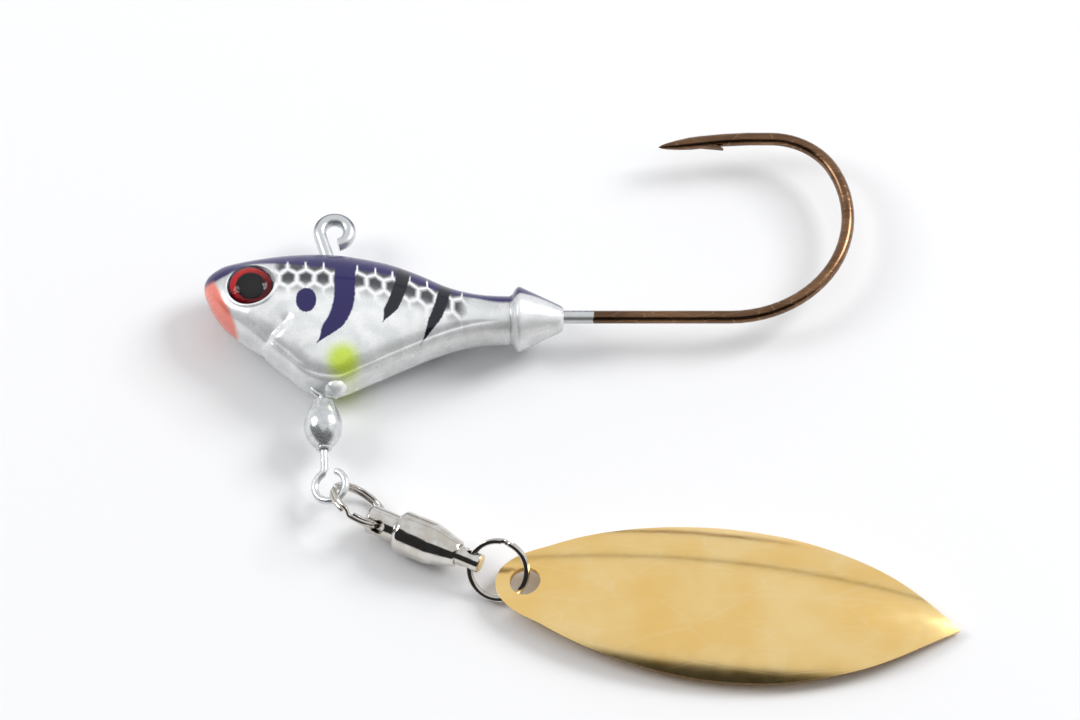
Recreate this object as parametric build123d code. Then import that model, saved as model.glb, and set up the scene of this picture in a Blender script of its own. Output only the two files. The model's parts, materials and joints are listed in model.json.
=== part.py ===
"""Underspin bait: a lead fish head cast on a jig hook, with a swivel and a willow-leaf blade below.

The bait lies on its right side, as it does on a table. Millimetres. The origin is the centre of
the line tie, +X runs along the hook shank towards the bend, +Y points out of the fish's back and
+Z points up from the table, square to the plane of the hook.
"""
import os
from math import acos, cos, hypot, pi, sin, sqrt

from build123d import *

# ---- driving dimensions ----
# Head: stations along the fish, each (x, back, widest level, belly, half thickness).
HEAD_STATIONS = [
    (-12.90, -6.1, -6.6, -7.1, 0.45),
    (-12.60, -5.5, -6.7, -7.9, 1.05),
    (-12.00, -4.9, -7.1, -9.2, 1.70),
    (-11.00, -4.3, -7.6, -10.6, 2.35),
    (-9.50, -3.9, -8.1, -12.0, 2.90),
    (-7.50, -3.5, -8.7, -13.6, 3.35),
    (-5.00, -3.1, -9.6, -15.8, 3.60),
    (-2.60, -2.9, -10.4, -17.8, 3.70),
    (0.40, -3.0, -10.7, -18.5, 3.70),
    (2.80, -3.4, -10.6, -17.5, 3.65),
    (5.60, -4.1, -10.3, -16.1, 3.45),
    (8.50, -5.3, -10.1, -14.7, 3.15),
    (11.50, -6.8, -10.1, -13.4, 2.80),
    (14.50, -7.6, -10.1, -12.6, 2.50),
    (17.80, -7.8, -10.1, -12.4, 2.40),
]
BACK_FULLNESS = 2.1
BELLY_FULLNESS = 2.5
SECTION_POINTS = 28

COLLAR_AXIS_Y = -10.0
COLLAR_START_X = 17.6
COLLAR_LIP_X = 18.4
COLLAR_LIP_R = 3.25
COLLAR_ROOT_R = 2.35
COLLAR_LIP_ROUND = 0.1
COLLAR_LIP_WIDTH = 0.35
COLLAR_END_X = 22.9
COLLAR_END_R = 1.25

BOSS_CENTRE = (0.3, -18.0, 0.55)
BOSS_R = 1.15

FISH_EYE_X = -8.2
FISH_EYE_Y = -7.7
FISH_EYE_R = 2.4
FOIL_SEAT_Z = 2.35
FOIL_T = 0.12
DOME_H = 1.05
SOCKET_CLEAR = 0.05
SOCKET_CUT = 3.0

# Hook: one wire, from the line tie round to the point.
HOOK_WIRE_R = 0.65
LINE_TIE_R = 1.47
LINE_TIE_BORE_R = 0.86
LINE_TIE_SWEEP = 272
STEM_LEAN = 17
HOOK_CORNER_R = 2.0
SHANK_Y = -9.76
SHANK_END_X = 39.5
HOOK_BEND = [(12.0, 49.5), (11.4, 67.6), (7.2, 61.3), (44.0, 9.5)]
POINT_LENGTH = 4.2
POINT_TIP_R = 0.04
BARB_ROOT = 0.6
BARB_HEEL = -1.3
BARB_TIP = -2.2
BARB_DEPTH = 0.45
BARB_LIFT = 0.48
BARB_WIDTH = 0.5

# Belly swivel: a barrel between two headed wire eyes.
BARREL_TOP = Vector(-1.0, -19.35, -0.2)
BARREL_HEADING = 2
BARREL_DIP = 5
BARREL_LENGTH = 5.3
BARREL_TOP_R = 1.15
BARREL_MID_R = 1.95
BARREL_MID_Z = 2.55
BARREL_END_R = 0.78
BARREL_RIM = 0.3
BARREL_WALL = 0.45
BARREL_END_WALL = 0.5
BARREL_BORE_R = 0.43
BARREL_NECK_WALL = 0.02
EYE_WIRE_R = 0.38
EYE_LOOP_R = 1.6
EYE_LOOP_SWEEP = 305
EYE_SHOULDER_R = 0.8
EYE_LEAN = 0.55
UPPER_HEAD = (0.8, 0.55, 1.25)
LOWER_HEAD = (0.66, 4.0, 4.7)
LOWER_LOOP_REACH = 9.23
LOWER_EYE_TURN = -10
UPPER_LOOP_REACH = 2.1

# Split rings: two flat coils of one wire.
RING_R = 2.9
RING_WIRE_RADIAL = 0.5
RING_COIL_T = 0.4
RING_COIL_GAP = 0.01
RING_KINK = 7
RING_TAIL = 11

# Ball bearing swivel, measured along its axis from the open end of the body.
BEARING_HEADING = -26.5
BEARING_RISE = 2.9
BODY_R = 2.15
BODY_LENGTH = 6.7
BODY_STRAIGHT = 3.75
BODY_END_R = 1.35
BODY_BORE_R = 1.7
BODY_BORE_DEPTH = 3.7
BODY_RIM = 0.35
BODY_RIM_CHAMFER = 0.5
BODY_END_CHAMFER = 0.1
SHAFT_R = 0.98
SHAFT_FIT = 0.05
STUD_HEAD_R = 1.6
STUD_HEAD_Z = 2.4
STUD_HEAD_T = 0.6
STUD_END = 9.2
STUD_CHAMFER = 0.15
STUD_HOLE_Z = 8.1
PLUG_R = 1.42
PLUG_LENGTH = 3.3
PLUG_HOLE_Z = -1.8
PLUG_FLANGE_T = 0.75
PLUG_CHAMFER = 0.35
CROSS_HOLE_R = 0.68
CROSS_HOLE_EASE = 0.22
BALL_R = 0.33
BALL_COUNT = 11

# Where the chain lies at rest.
LOOP_PASS = Vector(0.41, -28.8, -0.65)
PLUG_HOLE = Vector(4.92, -32.3, -1.61)
LOWER_RING_ROLL = 42.5
LOWER_RING_SWING = 6
BLADE_ON_RING = -3.6

# Blade: a round neck, then half widths along a domed willow leaf, from its neck end.
BLADE_LENGTH = 45.9
BLADE_NECK_R = 2.9
BLADE_NECK_TURN = 42
BLADE_HALF_WIDTHS = [(5.0, 4.45), (10.0, 6.5), (17.0, 8.1), (24.0, 8.5), (31.0, 7.6), (38.5, 4.9)]
BLADE_T = 0.55
BLADE_RISE = 2.6
BLADE_HOLE_X = 2.9
BLADE_HOLE_R = 1.5
BLADE_HEADING = -6.1
BLADE_DIP = 1.65


def heading(turn, rise):
    """Unit vector that is turned from +X about Z, then raised above the table plane."""
    return Vector(1, 0, 0).rotate(Axis.Y, -rise).rotate(Axis.Z, turn)


def frame_at(origin, axis, side):
    """Place a local frame: its Z on axis and its X on the part of side that is square to axis."""
    return Location(Plane(origin=origin, x_dir=side - axis * side.dot(axis), z_dir=axis))


def turned(*profile):
    """Solid of revolution about Z from a closed profile of (radius, height) corners."""
    outline = Polyline(*[(r, 0, z) for r, z in profile], close=True)
    return revolve(make_face(outline), Axis.Z)


def bent_wire(start, direction, moves, radius):
    """Round wire in the XY plane: each move is ("run", length) or (bend radius, turn)."""
    edges = []
    point = Vector(*start)
    tangent = Vector(1, 0, 0).rotate(Axis.Z, direction)
    for size, amount in moves:
        if size == "run":
            edge = Line(point, point + tangent * amount)
        else:
            edge = JernArc(start=point, tangent=tangent, radius=size, arc_size=amount)
        edges.append(edge)
        point = edge @ 1
        tangent = edge % 1
    path = Wire([edge.edge() for edge in edges])
    section = Plane(origin=path @ 0, z_dir=path % 0) * Circle(radius)
    return sweep(section, path=path), point, tangent


# ---- the hook ----
def make_hook():
    """Jig hook: line tie, stem, square corner inside the lead, shank, bend, barb and point."""
    lean = STEM_LEAN * pi / 180
    tie_start = Vector(-LINE_TIE_R * cos(lean), -LINE_TIE_R * sin(lean))
    corner_x = tie_start.X + (tie_start.Y - SHANK_Y) * sin(lean) / cos(lean)
    turn = 90 - STEM_LEAN
    setback = HOOK_CORNER_R * sin(turn * pi / 360) / cos(turn * pi / 360)
    stem = hypot(tie_start.X - corner_x, tie_start.Y - SHANK_Y) - setback
    shank = SHANK_END_X - corner_x - setback
    cut_end = tie_start.rotate(Axis.Z, -LINE_TIE_SWEEP)
    first_heading = 270 + STEM_LEAN - LINE_TIE_SWEEP
    moves = [(LINE_TIE_R, LINE_TIE_SWEEP), ("run", stem), (HOOK_CORNER_R, turn), ("run", shank)] + HOOK_BEND
    wire, end, tangent = bent_wire(cut_end, first_heading, moves, HOOK_WIRE_R)
    point = Cone(HOOK_WIRE_R, POINT_TIP_R, POINT_LENGTH, align=(Align.CENTER, Align.CENTER, Align.MIN))
    point = point.moved(frame_at(end, tangent, UP))
    inward = tangent.rotate(Axis.Z, 90)
    root = end + tangent * BARB_ROOT + inward * BARB_DEPTH
    heel = end + tangent * BARB_HEEL + inward * BARB_DEPTH
    tip = end + tangent * BARB_TIP + inward * (HOOK_WIRE_R + BARB_LIFT)
    barb = extrude(make_face(Polyline(heel, root, tip, close=True)), BARB_WIDTH / 2, both=True)
    bore = Cylinder(LINE_TIE_BORE_R, 3 * HOOK_WIRE_R)
    return wire + point + barb - bore


# ---- the head ----
def head_section(x, back, widest, belly, half_thickness):
    """One rounded cross-section of the fish, fuller below than above."""
    corners = []
    for step in range(SECTION_POINTS):
        angle = 2 * pi * step / SECTION_POINTS
        across, up = cos(angle), sin(angle)
        power = 2 / (BACK_FULLNESS if up > 0 else BELLY_FULLNESS)
        reach = back - widest if up > 0 else widest - belly
        y = widest + reach * abs(up) ** power * (1 if up > 0 else -1)
        z = half_thickness * abs(across) ** power * (1 if across > 0 else -1)
        corners.append(Vector(x, y, z))
    return make_face(Spline(*corners, periodic=True))


def make_head(hook, upper_eye):
    """Lead casting: fish body, tail collar, swivel boss and eye sockets, cast round both wires."""
    body = loft([head_section(*station) for station in HEAD_STATIONS])
    lip_edge = COLLAR_LIP_R - COLLAR_LIP_ROUND
    collar = turned((0, COLLAR_START_X), (COLLAR_ROOT_R, COLLAR_START_X),
                    (lip_edge, COLLAR_LIP_X - COLLAR_LIP_ROUND), (COLLAR_LIP_R, COLLAR_LIP_X),
                    (lip_edge, COLLAR_LIP_X + COLLAR_LIP_WIDTH), (COLLAR_END_R, COLLAR_END_X), (0, COLLAR_END_X))
    collar = collar.moved(frame_at(Vector(0, COLLAR_AXIS_Y, 0), Vector(1, 0, 0), Vector(0, 1, 0)))
    boss = Pos(*BOSS_CENTRE) * Sphere(BOSS_R)
    body = body + collar + boss
    for side in (1, -1):
        socket = Cylinder(FISH_EYE_R + SOCKET_CLEAR, SOCKET_CUT)
        body -= Pos(FISH_EYE_X, FISH_EYE_Y, side * (FOIL_SEAT_Z + SOCKET_CUT / 2)) * socket
    return body - hook - upper_eye


def make_foil(side):
    """Printed foil disc, stuck to the floor of an eye socket."""
    return Pos(FISH_EYE_X, FISH_EYE_Y, side * (FOIL_SEAT_Z + FOIL_T / 2)) * Cylinder(FISH_EYE_R, FOIL_T)


def make_dome(side):
    """Clear resin lens on the foil disc."""
    ball_r = (FISH_EYE_R ** 2 + DOME_H ** 2) / (2 * DOME_H)
    ball = Pos(0, 0, DOME_H - ball_r) * Sphere(ball_r)
    cap = ball & (Pos(0, 0, DOME_H / 2) * Box(3 * FISH_EYE_R, 3 * FISH_EYE_R, DOME_H))
    lens = Pos(FISH_EYE_X, FISH_EYE_Y, FOIL_SEAT_Z + FOIL_T) * cap
    return lens if side > 0 else lens.mirror(Plane.XY)


# ---- the belly swivel ----
def make_barrel():
    """Hollow barrel with both ends closed in round the necks of the eyes."""
    def bulging(near_r, middle_r, far_r, near, far):
        side = ThreePointArc((near_r, 0, near), (middle_r, 0, BARREL_MID_Z), (far_r, 0, far))
        return revolve(make_face(side + Polyline(side @ 1, (0, 0, far), (0, 0, near), side @ 0)), Axis.Z)

    neck = BARREL_LENGTH - BARREL_RIM
    top_rim = turned((0, 0), (BARREL_TOP_R, 0), (BARREL_TOP_R, BARREL_RIM), (0, BARREL_RIM))
    end_rim = turned((0, neck), (BARREL_END_R, neck), (BARREL_END_R, BARREL_LENGTH), (0, BARREL_LENGTH))
    shell = bulging(BARREL_TOP_R, BARREL_MID_R, BARREL_END_R, BARREL_RIM, neck) + top_rim + end_rim
    hollow = bulging(BARREL_TOP_R - BARREL_WALL / 2, BARREL_MID_R - BARREL_WALL, BARREL_END_R - BARREL_NECK_WALL,
                     BARREL_END_WALL, BARREL_LENGTH - BARREL_END_WALL)
    bore = Pos(0, 0, BARREL_LENGTH / 2) * Cylinder(BARREL_BORE_R, BARREL_LENGTH + 1)
    return shell - hollow - bore


def wire_eye(neck_from, reach, lean):
    """Wire eye along +X: neck, shoulder bend and a loop centred reach along and lean to the left."""
    shoulder = acos((EYE_SHOULDER_R + lean) / (EYE_SHOULDER_R + EYE_LOOP_R))
    neck_to = reach - (EYE_SHOULDER_R + EYE_LOOP_R) * sin(shoulder)
    moves = [("run", neck_to - neck_from), (EYE_SHOULDER_R, -shoulder * 180 / pi), (EYE_LOOP_R, EYE_LOOP_SWEEP)]
    return bent_wire((neck_from, 0), 0, moves, EYE_WIRE_R)[0]


def headed_eye(head, reach, lean):
    """Wire eye with its neck upset into a head that the barrel holds: head is (radius, near, far)."""
    head_r, near, far = head
    button = Pos((near + far) / 2, 0, 0) * Rot(0, 90, 0) * Cylinder(head_r, abs(far - near))
    return wire_eye(near, reach, lean) + button


# ---- split rings ----
def make_ring():
    """Split ring about Z: two flat coils joined by a short kink, with both tails beside it."""
    middle = (RING_COIL_T + RING_COIL_GAP) / 2
    section = Rectangle(RING_WIRE_RADIAL, RING_COIL_T)

    def coil_section(angle, height):
        return Rot(0, 0, angle) * Pos(RING_R, 0, height) * Rot(90, 0, 0) * section

    sweep_angle = 360 - RING_KINK - RING_TAIL
    top = revolve(coil_section(RING_TAIL, middle), Axis.Z, sweep_angle)
    bottom = revolve(coil_section(RING_KINK, -middle), Axis.Z, sweep_angle)
    kink = loft([coil_section(-RING_KINK, middle), coil_section(RING_KINK, -middle)])
    return top + kink + bottom


# ---- ball bearing swivel, about Z ----
def cross_hole(centre, direction, post_r):
    """Cutter for a hole across a post, with a mouth that is eased where the ring runs out."""
    mouth = CROSS_HOLE_R + CROSS_HOLE_EASE
    throat = post_r - 2 * CROSS_HOLE_EASE
    far = 2 * post_r
    drill = turned((0, -far), (mouth, -far), (mouth, -post_r), (CROSS_HOLE_R, -throat),
                   (CROSS_HOLE_R, throat), (mouth, post_r), (mouth, far), (0, far))
    return drill.moved(frame_at(centre, direction, bearing_axis))


def make_bearing_body():
    """Turned shell, wide at the end that is rolled over the plug and tapered to the stud."""
    outer = turned((0, 0), (BODY_R - BODY_RIM_CHAMFER, 0), (BODY_R, BODY_RIM_CHAMFER), (BODY_R, BODY_STRAIGHT),
                   (BODY_END_R, BODY_LENGTH - BODY_END_CHAMFER), (BODY_END_R - BODY_END_CHAMFER, BODY_LENGTH),
                   (0, BODY_LENGTH))
    shaft_bore = SHAFT_R + SHAFT_FIT
    inner = turned((0, -1), (PLUG_R, -1), (PLUG_R, BODY_RIM), (BODY_BORE_R, BODY_RIM),
                   (BODY_BORE_R, BODY_BORE_DEPTH), (shaft_bore, BODY_BORE_DEPTH),
                   (shaft_bore, BODY_LENGTH + 1), (0, BODY_LENGTH + 1))
    return outer - inner


def make_plug():
    """End plug: a drilled post with a flange that the body's rim is rolled over."""
    flange_end = BODY_RIM + PLUG_FLANGE_T
    return turned((0, -PLUG_LENGTH), (PLUG_R - PLUG_CHAMFER, -PLUG_LENGTH), (PLUG_R, PLUG_CHAMFER - PLUG_LENGTH),
                  (PLUG_R, BODY_RIM), (BODY_BORE_R, BODY_RIM), (BODY_BORE_R, flange_end), (0, flange_end))


def make_stud():
    """Headed shaft that turns on the balls and is drilled for the lower ring."""
    return turned((0, STUD_HEAD_Z), (STUD_HEAD_R, STUD_HEAD_Z), (STUD_HEAD_R, STUD_HEAD_Z + STUD_HEAD_T),
                  (SHAFT_R, STUD_HEAD_Z + STUD_HEAD_T), (SHAFT_R, STUD_END - STUD_CHAMFER),
                  (SHAFT_R - STUD_CHAMFER, STUD_END), (0, STUD_END))


def make_balls():
    """Ring of loose balls between the stud's head and the shoulder of the body."""
    pitch_r = (SHAFT_R + BODY_BORE_R) / 2
    height = (STUD_HEAD_Z + STUD_HEAD_T + BODY_BORE_DEPTH) / 2
    turns = [2 * pi * step / BALL_COUNT for step in range(BALL_COUNT)]
    return Compound([Pos(pitch_r * cos(t), pitch_r * sin(t), height) * Sphere(BALL_R) for t in turns])


# ---- the blade ----
def make_blade():
    """Willow leaf stamped to an even dome, along +X from its neck end, rim near Z = 0."""
    half = BLADE_LENGTH / 2
    across = max(width for x, width in BLADE_HALF_WIDTHS)
    long_r = half ** 2 / (2 * BLADE_RISE) + BLADE_RISE / 2
    cross_r = across ** 2 / (2 * BLADE_RISE) + BLADE_RISE / 2
    axis_z = BLADE_RISE - cross_r

    def crown(x, depth):
        return BLADE_RISE - long_r + sqrt((long_r - depth) ** 2 - (x - half) ** 2)

    def spindle(depth):
        near, far = -1, BLADE_LENGTH + 1
        edge = ThreePointArc(*[(x, 0, crown(x, depth)) for x in (near, half, far)])
        sides = Polyline(edge @ 1, (far, 0, axis_z), (near, 0, axis_z), edge @ 0)
        return revolve(make_face([edge, sides]), Axis((0, 0, axis_z), (1, 0, 0)))

    neck = CenterArc((BLADE_NECK_R, 0), BLADE_NECK_R, 180, -BLADE_NECK_TURN)
    side = Spline(neck @ 1, *BLADE_HALF_WIDTHS, (BLADE_LENGTH, 0))
    leaf = make_face([neck, side, neck.mirror(Plane.XZ), side.mirror(Plane.XZ)])
    hole_z = crown(BLADE_HOLE_X, BLADE_T / 2)
    hole = Pos(BLADE_HOLE_X, 0, hole_z) * Cylinder(BLADE_HOLE_R, 4)
    blank = Pos(0, 0, -1) * extrude(leaf, BLADE_RISE + 2)
    blade = (blank & spindle(0)) - spindle(BLADE_T) - hole
    return blade.moved(Location((-BLADE_HOLE_X, 0, -hole_z)))


# ---- where each piece of the chain goes ----
ORIGIN = Vector(0, 0, 0)
UP = Vector(0, 0, 1)
barrel_axis = heading(BARREL_HEADING - 90, -BARREL_DIP)
bearing_axis = heading(BEARING_HEADING, BEARING_RISE)

# The upper ring spans from the wire eye to the plug, square to the plug's bore.
upper_reach = (PLUG_HOLE - LOOP_PASS).normalized()
plug_bore = upper_reach.cross(bearing_axis).normalized()
upper_ring_centre = PLUG_HOLE - upper_reach * RING_R
upper_ring_axis = upper_reach.cross(plug_bore).normalized()

# The lower eye's loop faces the ring that runs through it.
upper_eye_normal = -(UP - barrel_axis * UP.dot(barrel_axis)).normalized()
lower_eye_normal = (plug_bore - barrel_axis * plug_bore.dot(barrel_axis)).normalized()
lower_eye_normal = lower_eye_normal.rotate(Axis(ORIGIN, barrel_axis), LOWER_EYE_TURN)
lower_eye_across = lower_eye_normal.cross(barrel_axis)
lower_loop = BARREL_TOP + barrel_axis * LOWER_LOOP_REACH + lower_eye_across * EYE_LEAN
loop_foot = lower_loop + barrel_axis * EYE_LOOP_R

# The lower ring hangs from the stud, and its tilt sets the stud's bore.
body_origin = PLUG_HOLE - bearing_axis * PLUG_HOLE_Z
stud_hole = body_origin + bearing_axis * STUD_HOLE_Z
level_side = UP.cross(bearing_axis).normalized()
stud_bore = level_side.rotate(Axis(ORIGIN, bearing_axis), LOWER_RING_ROLL)
lower_reach = bearing_axis.rotate(Axis(ORIGIN, stud_bore), LOWER_RING_SWING)
lower_ring_centre = stud_hole + lower_reach * RING_R
lower_ring_axis = lower_reach.cross(stud_bore).normalized()

# The blade hangs on the far side of the lower ring.
blade_arm = lower_reach.rotate(Axis(ORIGIN, lower_ring_axis), BLADE_ON_RING)
blade_hole = lower_ring_centre + blade_arm * RING_R
blade_pin = lower_ring_axis.cross(blade_arm).normalized()
blade_along = heading(BLADE_HEADING, -BLADE_DIP)
blade_normal = (UP - blade_along * UP.dot(blade_along)).normalized()


def main():
    """Write one STEP per piece."""
    along_barrel = frame_at(BARREL_TOP, barrel_axis, UP)
    along_bearing = frame_at(body_origin, bearing_axis, UP)
    hook = make_hook()
    upper_eye = headed_eye((UPPER_HEAD[0], -UPPER_HEAD[2], -UPPER_HEAD[1]), UPPER_LOOP_REACH, EYE_LEAN)
    upper_eye = upper_eye.moved(frame_at(BARREL_TOP, upper_eye_normal, -barrel_axis))
    lower_eye = headed_eye(LOWER_HEAD, LOWER_LOOP_REACH, EYE_LEAN)
    pieces = {
        "head_casting": make_head(hook, upper_eye),
        "jig_hook": hook,
        "eye_foil_left": make_foil(1),
        "eye_foil_right": make_foil(-1),
        "eye_dome_left": make_dome(1),
        "eye_dome_right": make_dome(-1),
        "belly_eye_upper": upper_eye,
        "belly_barrel": make_barrel().moved(along_barrel),
        "belly_eye_lower": lower_eye.moved(frame_at(BARREL_TOP, lower_eye_normal, barrel_axis)),
        "split_ring_upper": make_ring().moved(frame_at(upper_ring_centre, upper_ring_axis, plug_bore)),
        "bearing_plug": make_plug().moved(along_bearing) - cross_hole(PLUG_HOLE, plug_bore, PLUG_R),
        "bearing_body": make_bearing_body().moved(along_bearing),
        "bearing_balls": make_balls().moved(along_bearing),
        "bearing_stud": make_stud().moved(along_bearing) - cross_hole(stud_hole, stud_bore, SHAFT_R),
        "split_ring_lower": make_ring().moved(frame_at(lower_ring_centre, lower_ring_axis, stud_bore)),
        "willow_blade": make_blade().moved(frame_at(blade_hole, blade_normal, blade_along)),
    }
    os.makedirs("parts", exist_ok=True)
    for name, piece in pieces.items():
        piece.label = name
        export_step(piece, f"parts/{name}.step")
    return pieces


pieces = main()
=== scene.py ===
"""Underspin bait on its side: painted lead fish head, bronze jig hook, swivels and a gold willow blade."""

import json
from math import cos, hypot, pi, radians, sin, sqrt

import bmesh
import bpy
from mathutils import Matrix, Vector


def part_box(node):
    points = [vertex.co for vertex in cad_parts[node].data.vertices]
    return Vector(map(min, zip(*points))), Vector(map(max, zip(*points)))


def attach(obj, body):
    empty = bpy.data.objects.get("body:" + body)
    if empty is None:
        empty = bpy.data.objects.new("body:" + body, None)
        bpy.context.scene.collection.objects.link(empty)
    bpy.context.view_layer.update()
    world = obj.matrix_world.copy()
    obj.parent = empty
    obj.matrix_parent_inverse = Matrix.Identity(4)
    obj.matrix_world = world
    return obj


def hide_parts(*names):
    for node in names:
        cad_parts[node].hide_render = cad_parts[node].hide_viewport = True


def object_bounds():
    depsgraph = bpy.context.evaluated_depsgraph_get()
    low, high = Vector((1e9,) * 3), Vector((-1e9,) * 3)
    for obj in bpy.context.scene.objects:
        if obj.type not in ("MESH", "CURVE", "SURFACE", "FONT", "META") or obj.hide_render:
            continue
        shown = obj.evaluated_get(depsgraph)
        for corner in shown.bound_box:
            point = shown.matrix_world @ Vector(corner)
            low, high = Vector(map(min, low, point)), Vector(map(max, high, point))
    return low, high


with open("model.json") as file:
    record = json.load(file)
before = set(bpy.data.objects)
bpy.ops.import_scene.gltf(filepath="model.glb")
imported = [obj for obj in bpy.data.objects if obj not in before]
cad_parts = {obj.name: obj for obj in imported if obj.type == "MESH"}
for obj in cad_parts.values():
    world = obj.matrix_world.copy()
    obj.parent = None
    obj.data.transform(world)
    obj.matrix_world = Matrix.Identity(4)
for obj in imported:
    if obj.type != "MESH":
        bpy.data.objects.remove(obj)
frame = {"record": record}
cad_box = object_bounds()
joints = {joint["name"]: joint for joint in frame["record"]["behaviour"]["joints"]}

# ---- Jig hook ----
# One length of 1.3 mm high-carbon wire with a bronze lacquer: a loop for the line, a stem that goes
# into the lead, the long shank, and a round bend with a barbed point. The loop and the front of the
# shank went through the head's spray coats, up to a sharp line where the spraying jig held the hook.
MM = 0.001
WIRE_R = 0.65
TIE_R = 1.47
TIE_SWEEP = 272
STEM_LEAN = 17
CORNER_R = 2.0
SHANK_Y = -9.76
SHANK_END = 39.5
BEND = [(12.0, 49.5), (11.4, 67.6), (7.2, 61.3), (44.0, 9.5)]
POINT = 4.2
BARB_WIDTH = 0.5
SPRAY_END = 25.9


class Finish:
    """A lacquer, plating or print: one material, and short calls that wire its nodes together."""

    def __init__(self, name):
        self.material = bpy.data.materials.new(name)
        self.material.use_nodes = True
        self.tree = self.material.node_tree
        self.shader = self.tree.nodes["Principled BSDF"]
        self.coords = self.tree.nodes.new("ShaderNodeTexCoord").outputs["Object"]
        scale = self.tree.nodes.new("ShaderNodeMapping")
        scale.inputs["Scale"].default_value = (1 / MM, 1 / MM, 1 / MM)
        self.tree.links.new(self.coords, scale.inputs["Vector"])
        self.mm = scale.outputs["Vector"]
        parts = self.tree.nodes.new("ShaderNodeSeparateXYZ")
        self.tree.links.new(self.mm, parts.inputs["Vector"])
        self.x, self.y, self.z = parts.outputs

    def put(self, socket, value):
        if isinstance(value, bpy.types.NodeSocket):
            self.tree.links.new(value, socket)
        else:
            socket.default_value = value

    def set(self, **inputs):
        """Set or feed the shader's own sockets, named with underscores for spaces."""
        for name, value in inputs.items():
            self.put(self.shader.inputs[name.replace("_", " ")], value)

    def maths(self, operation, *values):
        step = self.tree.nodes.new("ShaderNodeMath")
        step.operation = operation
        for socket, value in zip(step.inputs, values):
            self.put(socket, value)
        return step.outputs["Value"]

    def ease(self, value, low, high, start=0.0, stop=1.0):
        """Smooth step of value from start at low to stop at high."""
        step = self.tree.nodes.new("ShaderNodeMapRange")
        step.interpolation_type = "SMOOTHSTEP"
        given = {"Value": value, "From Min": low, "From Max": high, "To Min": start, "To Max": stop}
        for name, amount in given.items():
            self.put(step.inputs[name], amount)
        return step.outputs["Result"]

    def blend(self, amount, first, second):
        step = self.tree.nodes.new("ShaderNodeMix")
        step.data_type = "RGBA"
        self.put(step.inputs[0], amount)
        self.put(step.inputs[6], first)
        self.put(step.inputs[7], second)
        return step.outputs[2]

    def cloud(self, size, detail=2.0, stretch=(1, 1, 1)):
        """Noise around 0.5 whose lumps are size millimetres across, less along a stretched axis."""
        scale = self.tree.nodes.new("ShaderNodeMapping")
        scale.inputs["Scale"].default_value = stretch
        noise = self.tree.nodes.new("ShaderNodeTexNoise")
        noise.inputs["Scale"].default_value = 1 / size
        noise.inputs["Detail"].default_value = detail
        self.tree.links.new(self.mm, scale.inputs["Vector"])
        self.tree.links.new(scale.outputs["Vector"], noise.inputs["Vector"])
        return noise.outputs["Fac"]

    def bump(self, height, depth):
        step = self.tree.nodes.new("ShaderNodeBump")
        step.inputs["Distance"].default_value = depth * MM
        self.put(step.inputs["Height"], height)
        self.put(self.shader.inputs["Normal"], step.outputs["Normal"])

    def group(self, tree, **inputs):
        step = self.tree.nodes.new("ShaderNodeGroup")
        step.node_tree = tree
        for name, value in inputs.items():
            self.put(step.inputs[name.replace("_", " ")], value)
        return step.outputs


def handling_marks():
    """Node group: hair scratches and dull patches that handling leaves on lacquer and plating."""
    tree = bpy.data.node_groups.new("handling marks", "ShaderNodeTree")
    tree.interface.new_socket("Place", in_out="INPUT", socket_type="NodeSocketVector")
    tree.interface.new_socket("Scratch Spacing", in_out="INPUT", socket_type="NodeSocketFloat")
    tree.interface.new_socket("Scratches", in_out="OUTPUT", socket_type="NodeSocketFloat")
    tree.interface.new_socket("Dullness", in_out="OUTPUT", socket_type="NodeSocketFloat")
    start = tree.nodes.new("NodeGroupInput")
    end = tree.nodes.new("NodeGroupOutput")
    hair = tree.nodes.new("ShaderNodeTexVoronoi")
    hair.feature = "DISTANCE_TO_EDGE"
    stretched = tree.nodes.new("ShaderNodeVectorMath")
    stretched.operation = "MULTIPLY"
    stretched.inputs[1].default_value = (0.25, 1.0, 0.6)
    thin = tree.nodes.new("ShaderNodeMapRange")
    thin.inputs["From Max"].default_value = 0.03
    thin.inputs["To Min"].default_value = 1.0
    thin.inputs["To Max"].default_value = 0.0
    patches = tree.nodes.new("ShaderNodeTexNoise")
    patches.inputs["Scale"].default_value = 0.7
    patches.inputs["Detail"].default_value = 4.0
    tree.links.new(start.outputs["Place"], stretched.inputs[0])
    tree.links.new(stretched.outputs["Vector"], hair.inputs["Vector"])
    tree.links.new(start.outputs["Scratch Spacing"], hair.inputs["Scale"])
    tree.links.new(hair.outputs["Distance"], thin.inputs["Value"])
    tree.links.new(thin.outputs["Result"], end.inputs["Scratches"])
    tree.links.new(start.outputs["Place"], patches.inputs["Vector"])
    tree.links.new(patches.outputs["Fac"], end.inputs["Dullness"])
    return tree


marks = handling_marks()


def piece(bm, name, place, finish, body, slot, *stands_for, sharp=40, bevel=0.0, smooth_levels=0):
    """Put a shape drawn in millimetres at its place in metres, and ride it on its body."""
    bmesh.ops.recalc_face_normals(bm, faces=bm.faces)
    bm.transform(place @ Matrix.Scale(MM, 4))
    mesh = bpy.data.meshes.new(name)
    bm.to_mesh(mesh)
    bm.free()
    mesh.shade_smooth()
    mesh.set_sharp_from_angle(angle=radians(sharp))
    mesh.materials.append(finish.material)
    made = bpy.data.objects.new(name, mesh)
    bpy.context.scene.collection.objects.link(made)
    if smooth_levels:
        rounding = made.modifiers.new("rounding", "SUBSURF")
        rounding.levels = smooth_levels
        rounding.render_levels = smooth_levels
    if bevel:
        edges = made.modifiers.new("edges", "BEVEL")
        edges.width = bevel * MM
        edges.segments = 3
        edges.limit_method = "ANGLE"
        edges.angle_limit = radians(35)
        edges.use_clamp_overlap = True
    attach(made, body)
    if stands_for:
        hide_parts(*stands_for)
    return made


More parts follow.
